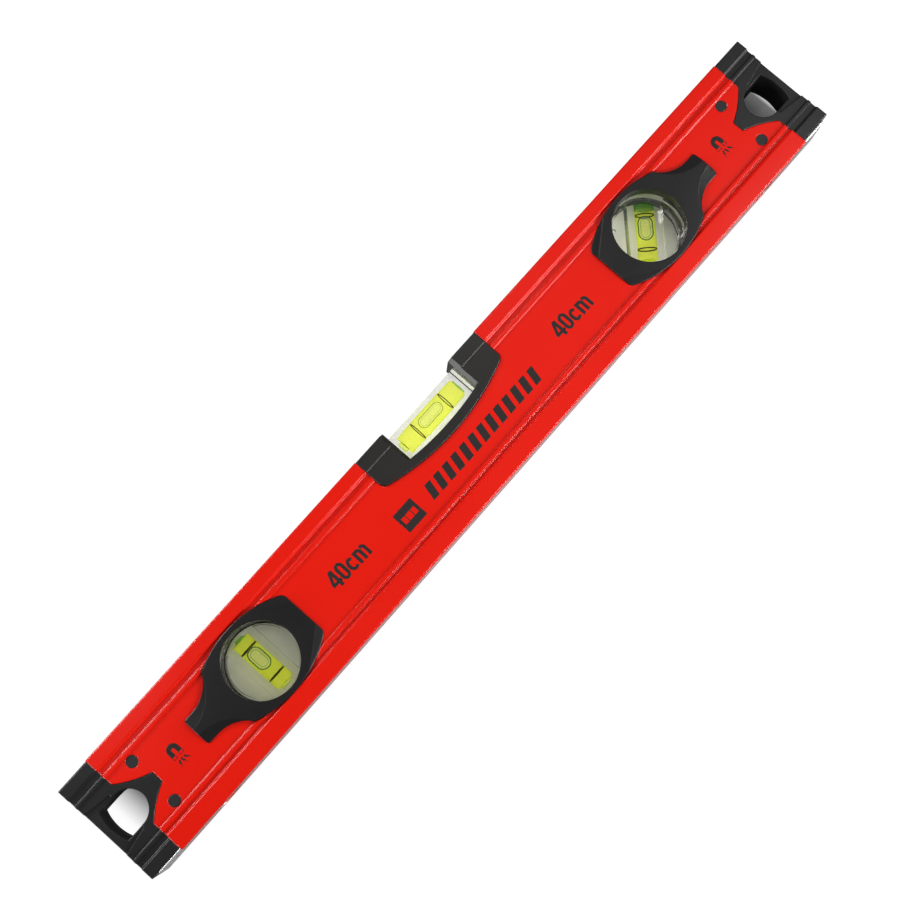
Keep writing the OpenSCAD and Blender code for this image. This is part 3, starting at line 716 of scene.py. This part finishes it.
# %% [markdown]
# ### The length marks
# A font gives thin strokes here, and thick ones close the eye of the 4. So the four signs
# are drawn as bold shapes of their own: straight strokes, and strips between two curves for
# the round parts. A figure is 1 high and a small letter a little less. The whole mark is then
# stretched to the size that the print has on the level.
# %% Strokes and figures
STROKE = 0.19
CURVE_STEPS = 18
CROSSBAR_LOW, CROSSBAR_HIGH = 0.20, 0.37
FOUR_STEM, FOUR_WIDE = 0.37, 0.65
FOUR_EYE_TOP, FOUR_NIB = 0.70, 0.04
NOUGHT_HALF_WIDE, NOUGHT_STRAIGHT, NOUGHT_EYE_ARCH = 0.28, 0.20, 0.14


def curved_strip(work, middle, outer, inner, outer_turn, inner_turn):
    """A strip between two arcs. Each arc is (half width, half height), each turn (from, to)."""
    def spot(radii, turn, share):
        angle = math.radians(turn[0] + (turn[1] - turn[0]) * share)
        return middle[0] + radii[0] * math.cos(angle), middle[1] + radii[1] * math.sin(angle)
    for step in range(CURVE_STEPS):
        near, far = step / CURVE_STEPS, (step + 1) / CURVE_STEPS
        flat_shape(work, [spot(outer, outer_turn, near), spot(outer, outer_turn, far),
                          spot(inner, inner_turn, far), spot(inner, inner_turn, near)])


def draw_four(work, left):
    stem = left + FOUR_STEM
    box_shape(work, stem, stem + STROKE, 0.0, 1.0)
    box_shape(work, left, stem, CROSSBAR_LOW, CROSSBAR_HIGH)
    box_shape(work, stem + STROKE, left + FOUR_WIDE, CROSSBAR_LOW, CROSSBAR_HIGH)
    flat_shape(work, [(left, CROSSBAR_HIGH), (left + STROKE, CROSSBAR_HIGH), (stem, FOUR_EYE_TOP),
                      (stem, 1.0), (stem - FOUR_NIB, 1.0)])


def draw_nought(work, left):
    middle = left + NOUGHT_HALF_WIDE
    eye = (NOUGHT_HALF_WIDE - STROKE, NOUGHT_EYE_ARCH)
    round_part = (NOUGHT_HALF_WIDE, 0.5 - NOUGHT_STRAIGHT)
    for height, turn in ((0.5 + NOUGHT_STRAIGHT, (0, 180)), (0.5 - NOUGHT_STRAIGHT, (180, 360))):
        curved_strip(work, (middle, height), round_part, eye, turn, turn)
    for side in (middle - NOUGHT_HALF_WIDE, middle + NOUGHT_HALF_WIDE - STROKE):
        box_shape(work, side, side + STROKE, 0.5 - NOUGHT_STRAIGHT, 0.5 + NOUGHT_STRAIGHT)


print("steps in a curve:", CURVE_STEPS)

# %% [markdown]
# ### The small letters
# A c is one open strip. An m is three stems, and an arch over each of its two gaps.
# %% Small letters
SMALL_TALL = 0.74
C_HALF_WIDE, C_THICK = 0.30, 0.165
C_OPENING = (42, 318)
M_GAPS = (0.34, 0.68)
ARCH_Z, ARCH_INNER = 0.48, 0.09
ARCH_OUTER_TURN, ARCH_INNER_TURN = (0, 107), (0, 180)


def draw_c(work, left):
    half = SMALL_TALL / 2
    curved_strip(work, (left + C_HALF_WIDE, half), (C_HALF_WIDE, half),
                 (C_HALF_WIDE - STROKE, half - C_THICK), C_OPENING, C_OPENING)


def draw_m(work, left):
    box_shape(work, left, left + STROKE, 0.0, SMALL_TALL)
    for stem in (left + shift for shift in M_GAPS):
        box_shape(work, stem, stem + STROKE, 0.0, ARCH_Z)
        reach = (stem - M_GAPS[0] + STROKE, stem)
        middle = sum(reach) / 2
        half = (reach[1] - reach[0]) / 2
        curved_strip(work, (middle, ARCH_Z), (half + STROKE, SMALL_TALL - ARCH_Z),
                     (half, ARCH_INNER), ARCH_OUTER_TURN, ARCH_INNER_TURN)


print("height of a small letter:", SMALL_TALL)

# %% [markdown]
# ### Setting the length marks
# The four signs stand side by side. Their places count in heights of a figure. The ends of
# each mark, and how low and high it reaches, are in millimetres on the level.
# %% Length marks
TALL_LOW, TALL_HIGH = 20.8, 28.4
SIGNS = ((draw_four, 0.0), (draw_nought, 0.69), (draw_c, 1.30), (draw_m, 1.93))
MARK_ENDS = {"size_mark_left": (-76.3, -56.2), "size_mark_right": (55.9, 76.0)}


def size_mark(name, left, right):
    work = bmesh.new()
    for draw, start in SIGNS:
        draw(work, start)
    low_x, high_x = min(v.co.x for v in work.verts), max(v.co.x for v in work.verts)
    stretch = Vector(((right - left) / (high_x - low_x), 1, TALL_HIGH - TALL_LOW))
    bmesh.ops.scale(work, vec=stretch, verts=work.verts[:])
    bmesh.ops.translate(work, vec=Vector((left, 0, TALL_LOW)), verts=work.verts[:])
    return ink_piece(name, work)


for name, ends in MARK_ENDS.items():
    made = size_mark(name, *ends)
    print(made.name, "faces:", len(made.data.polygons))

# %% [markdown]
# ### The magnet signs
# A horseshoe is half a ring with two arms. An edge that is spun half a turn draws the ring,
# and the arms are two plain strips with an open box at each pole. The three flashes are small
# jagged shapes that lean apart.
# %% Magnet signs
SIGN_OUTER, SIGN_INNER = 2.6, 0.72
SIGN_BEND_Z, ARM_LOW_Z, POLE_LOW_Z = 27.2, 25.2, 24.0
POLE_LINE = 0.22
BEND_STEPS = 24
FLASH_Z = 21.6
FLASHES = ((-1.75, -0.5), (0.15, 0.12), (2.05, 0.5))
FLASH_OUTLINE = ((-0.45, 1.5), (0.35, 1.5), (0.15, 0.35), (0.5, 0.35), (0.1, -1.7),
                 (-0.05, -0.1), (-0.45, -0.1))
SIGN_MIDDLES = {"magnet_sign_left": -161.0, "magnet_sign_right": 160.9}


def magnet_sign(name, middle):
    """The flashes are (how far from the middle, how far they lean in radians)."""
    work = bmesh.new()
    ends = [work.verts.new((middle + r, 0, SIGN_BEND_Z)) for r in (SIGN_INNER, SIGN_OUTER)]
    edge = work.edges.new(ends)
    bmesh.ops.spin(work, geom=[edge] + ends, cent=Vector((middle, 0, SIGN_BEND_Z)),
                   axis=Vector((0, -1, 0)), angle=math.pi, steps=BEND_STEPS)
    for side in (-1, 1):
        near, far = middle + side * SIGN_INNER, middle + side * SIGN_OUTER
        box_shape(work, near, far, ARM_LOW_Z, SIGN_BEND_Z)
        for x in (near, far - side * POLE_LINE):
            box_shape(work, x, x + side * POLE_LINE, POLE_LOW_Z, ARM_LOW_Z)
        box_shape(work, near, far, POLE_LOW_Z, POLE_LOW_Z + POLE_LINE)
    for shift, lean in FLASHES:
        turn = Matrix.Rotation(-lean, 3, "Y")
        spots = [turn @ Vector((x, 0, z)) for x, z in FLASH_OUTLINE]
        flat_shape(work, [(middle + shift + p.x, FLASH_Z + p.z) for p in spots])
    return ink_piece(name, work)


for name, middle in SIGN_MIDDLES.items():
    made = magnet_sign(name, middle)
    print(made.name, "faces:", len(made.data.polygons))

# %% [markdown]
# ### The plain marks in the middle
# The middle of the front carries a row of slanted bars and a small square with a vial in it.
# Both are plain shapes that name nothing. The square is drawn as strips round the vial, so
# that the red of the metal shows through.
# %% Bars and vial sign
BAR_LOW, BAR_HIGH = 16.3, 23.0
BAR_START, BAR_END, BAR_COUNT = -25.5, 40.0, 13
BAR_LEAN, BAR_SHARE = 1.6, 0.62
SIGN_LEFT, SIGN_RIGHT, SIGN_LOW, SIGN_HIGH = -41.2, -31.2, 14.9, 24.1
VIAL_HALF, VIAL_LONG = 1.45, 3.6
LINE_PLACE, LINE_HALF = 1.5, 0.2

work = bmesh.new()
pitch = (BAR_END - BAR_START - BAR_LEAN) / (BAR_COUNT - 1 + BAR_SHARE)
for index in range(BAR_COUNT):
    x = BAR_START + index * pitch
    flat_shape(work, [(x, BAR_LOW), (x + pitch * BAR_SHARE, BAR_LOW),
                      (x + pitch * BAR_SHARE + BAR_LEAN, BAR_HIGH), (x + BAR_LEAN, BAR_HIGH)])
bars = ink_piece("bar_row", work)

work = bmesh.new()
mid_x, mid_z = (SIGN_LEFT + SIGN_RIGHT) / 2, (SIGN_LOW + SIGN_HIGH) / 2
window_low, window_high = mid_z - VIAL_HALF, mid_z + VIAL_HALF
for side, edge, near, outer in ((-1, SIGN_LOW, window_low, SIGN_LEFT),
                                (1, SIGN_HIGH, window_high, SIGN_RIGHT)):
    box_shape(work, SIGN_LEFT, SIGN_RIGHT, edge, near)
    inner = mid_x + side * VIAL_LONG
    flat_shape(work, [(outer, window_low), (outer, window_high),
                      (inner, window_high), (inner, window_low)])
    line = mid_x + side * LINE_PLACE
    box_shape(work, line - LINE_HALF, line + LINE_HALF, window_low, window_high)
sign = ink_piece("vial_sign", work)
print("faces of the bars:", len(bars.data.polygons), "of the sign:", len(sign.data.polygons))

# %% [markdown]
# ## The table
# For the picture the level lies on its rear face on a white table, and the camera looks straight
# down on it. Round the level the table glows white, as in the picture. Where it is seen through a
# hole or a vial it is matt and takes the light of the lamps, and painted shade darkens it towards
# the ends of the level, where the level shades it. Masks along the level let some of the glow in
# where light gets under it: at the ends, in the notch, and behind the slanted vial.
#
# Mirrored rays see the table dim, so that it puts no glare on the edges. A ray that has come
# through a clear piece counts as glossy too, so the mask asks for one that is glossy and not
# transmitted. A real table with real shade would do as well, but it would take light away
# from the level, and here each tone can be set by itself.
# %% Masks of the table
LEVEL_HALF = 200 * MM
LIFT_ALONG = [(-194, 0.95), (-182, 0.06), (-165, 0.0), (92, 0.0), (100, 0.28), (115, 0.20),
              (125, 0.0), (180, 0.0), (190, 0.03), (197.5, 0.12), (199.5, 1.0)]
SHADE_ALONG = [(-130, 0.84), (-112, 0.90), (-98, 1.0), (104, 1.0), (124, 0.76), (150, 0.76),
               (180, 0.36)]
TOP_EDGE, BASE_EDGE = (46.5 * MM, 48.5 * MM), (-0.5 * MM, 1.5 * MM)
NOTCH_END, NOTCH_FLOOR = (21 * MM, 23 * MM), (31 * MM, 33 * MM)
LIFT_IN_NOTCH = 0.35
MIRRORED_SHARE = 0.30
PAPER_CLOUD = 8.0
PAPER_DARK, PAPER_PALE = (0.93, 0.93, 0.93, 1), (0.95, 0.95, 0.95, 1)
TABLE_GLOW = 1.03


def grey_bands(bands):
    """The bands are (place along the level in millimetres, share from 0 to 1)."""
    return [((x * MM / LEVEL_HALF + 1) / 2, (share, share, share)) for x, share in bands]


def largest(tree, *values):
    most = values[0]
    for value in values[1:]:
        most = maths(tree, "MAXIMUM", most, value)
    return most


print("bands of lift:", len(LIFT_ALONG), "bands of shade:", len(SHADE_ALONG))

# %% [markdown]
# ### The table's material
# A matt and a glowing shader are mixed by the masks. The table is clear from behind, so a
# view from there still shows the level, and clear to shadow and diffuse rays, so it takes no
# light from the level and throws none on it.
# %% Table white
table_white, tree, shader, output = finish_of("table_white")
tree.nodes.remove(shader)
cloud = add(tree, "TexNoise", {"Vector": place(tree), "Scale": PAPER_CLOUD})
paper = blend_of(tree, cloud.outputs["Fac"], PAPER_DARK, PAPER_PALE)
spot = spot_of(tree)
along_level = stretched(tree, spot["X"], 0.0, 1.0, -LEVEL_HALF, LEVEL_HALF)
path = add(tree, "LightPath")
not_glossy = stretched(tree, path.outputs["Is Glossy Ray"], 1.0, 0.0)
not_mirrored = largest(tree, not_glossy, path.outputs["Is Transmission Ray"])

# painted shade: the table darkens along the level where the level would shade it
shade_along = colour_bands(tree, along_level, grey_bands(SHADE_ALONG))
shade_mirrored = stretched(tree, not_mirrored, MIRRORED_SHARE, 1.0)
shade = maths(tree, "MULTIPLY", shade_along, shade_mirrored)
dimmed = add(tree, "HueSaturation", {"Value": shade, "Color": paper})
matt = add(tree, "BsdfDiffuse", {"Color": dimmed.outputs["Color"]})
glow = add(tree, "Emission", {"Color": (1, 1, 1, 1), "Strength": TABLE_GLOW})

clear = add(tree, "BsdfTransparent")
table_side = add(tree, "NewGeometry")
lift_along = colour_bands(tree, along_level, grey_bands(LIFT_ALONG))
above = stretched(tree, spot["Z"], 0.0, 1.0, *TOP_EDGE)
below = stretched(tree, spot["Z"], 1.0, 0.0, *BASE_EDGE)
outside = largest(tree, above, below)
from_middle = maths(tree, "ABSOLUTE", spot["X"])
in_notch = stretched(tree, from_middle, LIFT_IN_NOTCH, 0.0, *NOTCH_END)
high_up = stretched(tree, spot["Z"], 0.0, 1.0, *NOTCH_FLOOR)
notch = maths(tree, "MULTIPLY", in_notch, high_up)
lifted = maths(tree, "MULTIPLY", largest(tree, outside, lift_along, notch), not_mirrored)
shown = add(tree, "MixShader", {0: lifted, 1: matt.outputs[0], 2: glow.outputs[0]})
unseen = largest(tree, path.outputs["Is Shadow Ray"], path.outputs["Is Diffuse Ray"],
                 table_side.outputs["Backfacing"])
final = add(tree, "MixShader", {0: unseen, 1: shown.outputs[0], 2: clear.outputs[0]})
feed(tree, output, {"Surface": final.outputs[0]})
print("nodes in the table's material:", len(tree.nodes))

# %% [markdown]
# ### The table's sheet
# The table is one flat sheet just behind the rear face.
# %% Table
TABLE_GAP = 0.05 * MM
TABLE_SIZE = 8.0

table_y = cad_high.y + TABLE_GAP
sheet = bmesh.new()
bmesh.ops.create_grid(sheet, x_segments=1, y_segments=1, size=TABLE_SIZE / 2)
upright = Matrix.Rotation(math.pi / 2, 3, "X")
bmesh.ops.rotate(sheet, cent=Vector((0, 0, 0)), matrix=upright, verts=sheet.verts[:])
bmesh.ops.translate(sheet, vec=Vector((0, table_y, 0)), verts=sheet.verts[:])
mesh = bpy.data.meshes.new("table")
sheet.to_mesh(mesh)
sheet.free()
table = bpy.data.objects.new("table", mesh)
bpy.context.scene.collection.objects.link(table)
dress(table, table_white)
table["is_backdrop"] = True
print("table at y in mm:", round(table_y / MM, 2),
      "normal:", tuple(round(c) for c in mesh.polygons[0].normal))

# %% [markdown]
# ## Lamps
# A soft box at the left draws light lines along edges that face up on the left half, and one
# at the right along edges that face down on the right half, as in the picture. A low box at
# the left and a large dim card at the right even out the red. Four small lamps near the
# camera draw the thin lines on the holders: on a flare, a corner, a neck and an edge. A lamp
# could light every piece alike, but black plastic shows mostly what it mirrors, so each line
# needs a lamp where that ridge mirrors. The list gives each lamp's place and its size in
# metres, and its power in watts.
# %% Lamps
TARGET = Vector((0, 0, 0.025))
GLINT_SIZE = (0.06, 0.06)
LAMPS = {
    "left_box": ((-0.20, -0.27, 0.58), (0.22, 0.20), 2.8),
    "right_box": ((0.24, -0.27, -0.55), (0.64, 0.18), 6.3),
    "low_box": ((-0.72, -0.16, 0.13), (0.26, 0.26), 1.4),
    "side_card": ((0.55, -1.00, 0.12), (0.90, 0.90), 0.30),
    "glint_flare": ((-0.22, -0.57, 0.20), GLINT_SIZE, 0.10),
    "glint_corner": ((0.01, -0.59, -0.09), GLINT_SIZE, 0.09),
    "glint_neck": ((0.395, -0.55, -0.06), GLINT_SIZE, 0.26),
    "glint_edge": ((0.20, -0.56, 0.25), GLINT_SIZE, 0.26),
}


def soft_box(name, place_of, size, watts):
    """A lamp of that width and height, turned to face the middle of the level."""
    lamp = bpy.data.lights.new(name, "AREA")
    lamp.shape = "RECTANGLE"
    lamp.size, lamp.size_y = size
    lamp.energy = watts
    made = bpy.data.objects.new(name, lamp)
    bpy.context.scene.collection.objects.link(made)
    towards = (Vector(place_of) - TARGET).normalized()
    made.matrix_world = (Matrix.Translation(place_of)
                         @ towards.to_track_quat("Z", "Y").to_matrix().to_4x4())
    return made


lamps = [soft_box(name, *settings) for name, settings in LAMPS.items()]
print("lamps:", [lamp.name for lamp in lamps])

# %% [markdown]
# ## Surrounding
# A pale surrounding fills the shadows, and mirrored rays see less of it, so the black stays
# black. The camera and rays through clear pieces see pure white. That white comes from the
# surrounding and the table, and not from more light on the level.
# %% World
FILL, MIRRORED_FILL = 0.19, 0.04
WHITE = (1, 1, 1, 1)

world = bpy.data.worlds.new("studio")
bpy.context.scene.world = world
world.use_nodes = True
tree = world.node_tree
tree.nodes.clear()
path = add(tree, "LightPath")
seen = maths(tree, "MAXIMUM", path.outputs["Is Camera Ray"], path.outputs["Is Transmission Ray"])
fill_strength = stretched(tree, path.outputs["Is Glossy Ray"], FILL, MIRRORED_FILL)
fill = add(tree, "Background", {"Color": WHITE, "Strength": fill_strength})
white = add(tree, "Background", {"Color": WHITE, "Strength": 1.0})
mixed = add(tree, "MixShader", {0: seen, 1: fill.outputs[0], 2: white.outputs[0]})
add(tree, "OutputWorld", {"Surface": mixed.outputs[0]})
bpy.context.scene.view_settings.view_transform = "Standard"
print("fill:", FILL, "in mirrored rays:", MIRRORED_FILL)

low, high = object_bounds()
print("size in mm:", [round((b - a) / MM, 2) for a, b in zip(low, high)])
